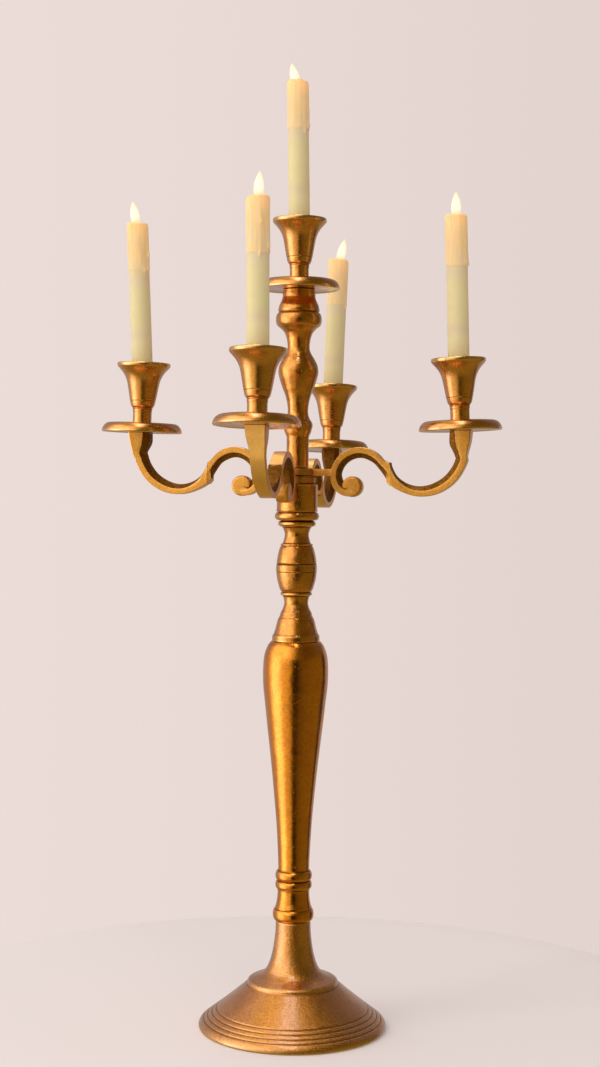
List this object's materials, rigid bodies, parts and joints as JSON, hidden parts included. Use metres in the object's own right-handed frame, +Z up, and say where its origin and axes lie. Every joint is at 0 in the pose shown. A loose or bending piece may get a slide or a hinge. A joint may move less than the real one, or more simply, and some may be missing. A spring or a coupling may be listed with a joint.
{
  "type": "tabletop candelabra",
  "caption": "Free-standing gilt metal candelabra with scroll arms, drip pans and bell cups that hold battery taper candles with swaying flame paddles.",
  "frame": {"origin": "on the stem's axis, in the plane that the foot rests on", "axes": "+Z up along the stem; +X towards the right arm; -Y towards the front arm"},
  "size_m": [0.4068, 0.4065, 0.959],
  "materials": {
    "foot_gold": "sand-cast, matte antique gold",
    "polished_gold": "polished warm gold with light hammering and wear",
    "arm_gold": "brushed satin gold with dark recesses",
    "cup_gold": "turned satin gold",
    "steel": "zinc plated",
    "wax": "real wax over plastic, satin ivory",
    "flame": "frosted translucent, lit",
    "led": "moulded white",
    "battery": "plain dark sleeve with metal ends",
    "cap": "moulded ivory"
  },
  "bodies": {
    "stand": {"base": "foot_gold", "base_washer": "steel", "base_nut": "steel", "tie_rod": "steel", "lower_stem": "polished_gold", "middle_stem": "polished_gold", "upper_stem": "polished_gold", "arm_pair_front_back": "arm_gold", "arm_pair_left_right": "arm_gold", "drip_pan_top": "cup_gold", "candle_cup_top": "cup_gold", "cup_screw_top": "steel", "drip_pan_front": "cup_gold", "candle_cup_front": "cup_gold", "cup_screw_front": "steel", "drip_pan_back": "cup_gold", "candle_cup_back": "cup_gold", "cup_screw_back": "steel", "drip_pan_left": "cup_gold", "candle_cup_left": "cup_gold", "cup_screw_left": "steel", "drip_pan_right": "cup_gold", "candle_cup_right": "cup_gold", "cup_screw_right": "steel"},
    "candle_top": {"candle_shell_top": "wax", "flame_pin_top": "steel", "led_module_top": "led", "battery_upper_top": "battery", "battery_lower_top": "battery"},
    "paddle_top": {"flame_top": "flame"},
    "cap_top": {"battery_cap_top": "cap"},
    "candle_front": {"candle_shell_front": "wax", "flame_pin_front": "steel", "led_module_front": "led", "battery_upper_front": "battery", "battery_lower_front": "battery"},
    "paddle_front": {"flame_front": "flame"},
    "cap_front": {"battery_cap_front": "cap"},
    "candle_back": {"candle_shell_back": "wax", "flame_pin_back": "steel", "led_module_back": "led", "battery_upper_back": "battery", "battery_lower_back": "battery"},
    "paddle_back": {"flame_back": "flame"},
    "cap_back": {"battery_cap_back": "cap"},
    "candle_left": {"candle_shell_left": "wax", "flame_pin_left": "steel", "led_module_left": "led", "battery_upper_left": "battery", "battery_lower_left": "battery"},
    "paddle_left": {"flame_left": "flame"},
    "cap_left": {"battery_cap_left": "cap"},
    "candle_right": {"candle_shell_right": "wax", "flame_pin_right": "steel", "led_module_right": "led", "battery_upper_right": "battery", "battery_lower_right": "battery"},
    "paddle_right": {"flame_right": "flame"},
    "cap_right": {"battery_cap_right": "cap"}
  },
  "joints": [
    {"name": "candle_lift_top", "type": "slide", "parent": "stand", "child": "candle_top", "axis": [-0.0209, 0, 0.9998], "range_m": [0, 0.06]},
    {"name": "flame_sway_top", "type": "hinge", "parent": "candle_top", "child": "paddle_top", "pos_m": [-0.0032, 0, 0.92877], "axis": [0, 1, 0], "range_deg": [-3.5, 26.5]},
    {"name": "battery_cap_twist_top", "type": "hinge", "parent": "candle_top", "child": "cap_top", "pos_m": [0, 0, 0.7758], "axis": [-0.0209, 0, 0.9998], "range_deg": [0, 30]},
    {"name": "candle_lift_front", "type": "slide", "parent": "stand", "child": "candle_front", "axis": [-0.0105, 0, 0.9999], "range_m": [0, 0.06]},
    {"name": "flame_sway_front", "type": "hinge", "parent": "candle_front", "child": "paddle_front", "pos_m": [-0.00331, -0.15804, 0.79209], "axis": [0, 1, 0], "range_deg": [-19, 11]},
    {"name": "battery_cap_twist_front", "type": "hinge", "parent": "candle_front", "child": "cap_front", "pos_m": [-0.00166, -0.15804, 0.6342], "axis": [-0.0105, 0, 0.9999], "range_deg": [0, 30]},
    {"name": "candle_lift_back", "type": "slide", "parent": "stand", "child": "candle_back", "axis": [0.0349, 0, 0.9994], "range_m": [0, 0.06]},
    {"name": "flame_sway_back", "type": "hinge", "parent": "candle_back", "child": "paddle_back", "pos_m": [0.00548, 0.16659, 0.77659], "axis": [0, 1, 0], "range_deg": [-27, 3]},
    {"name": "battery_cap_twist_back", "type": "hinge", "parent": "candle_back", "child": "cap_back", "pos_m": [0, 0.16659, 0.61978], "axis": [0.0349, 0, 0.9994], "range_deg": [0, 30]},
    {"name": "candle_lift_left", "type": "slide", "parent": "stand", "child": "candle_left", "axis": [-0.0471, 0, 0.9989], "range_m": [0, 0.06]},
    {"name": "flame_sway_left", "type": "hinge", "parent": "candle_left", "child": "paddle_left", "pos_m": [-0.169, 0, 0.79531], "axis": [0, 1, 0], "range_deg": [-7, 23]},
    {"name": "battery_cap_twist_left", "type": "hinge", "parent": "candle_left", "child": "cap_left", "pos_m": [-0.16135, 0, 0.63318], "axis": [-0.0471, 0, 0.9989], "range_deg": [0, 30]},
    {"name": "candle_lift_right", "type": "slide", "parent": "stand", "child": "candle_right", "axis": [-0.0279, 0, 0.9996], "range_m": [0, 0.06]},
    {"name": "flame_sway_right", "type": "hinge", "parent": "candle_right", "child": "paddle_right", "pos_m": [0.15636, 0, 0.79531], "axis": [0, 1, 0], "range_deg": [-16, 14]},
    {"name": "battery_cap_twist_right", "type": "hinge", "parent": "candle_right", "child": "cap_right", "pos_m": [0.16082, 0, 0.63567], "axis": [-0.0279, 0, 0.9996], "range_deg": [0, 30]}
  ]
}
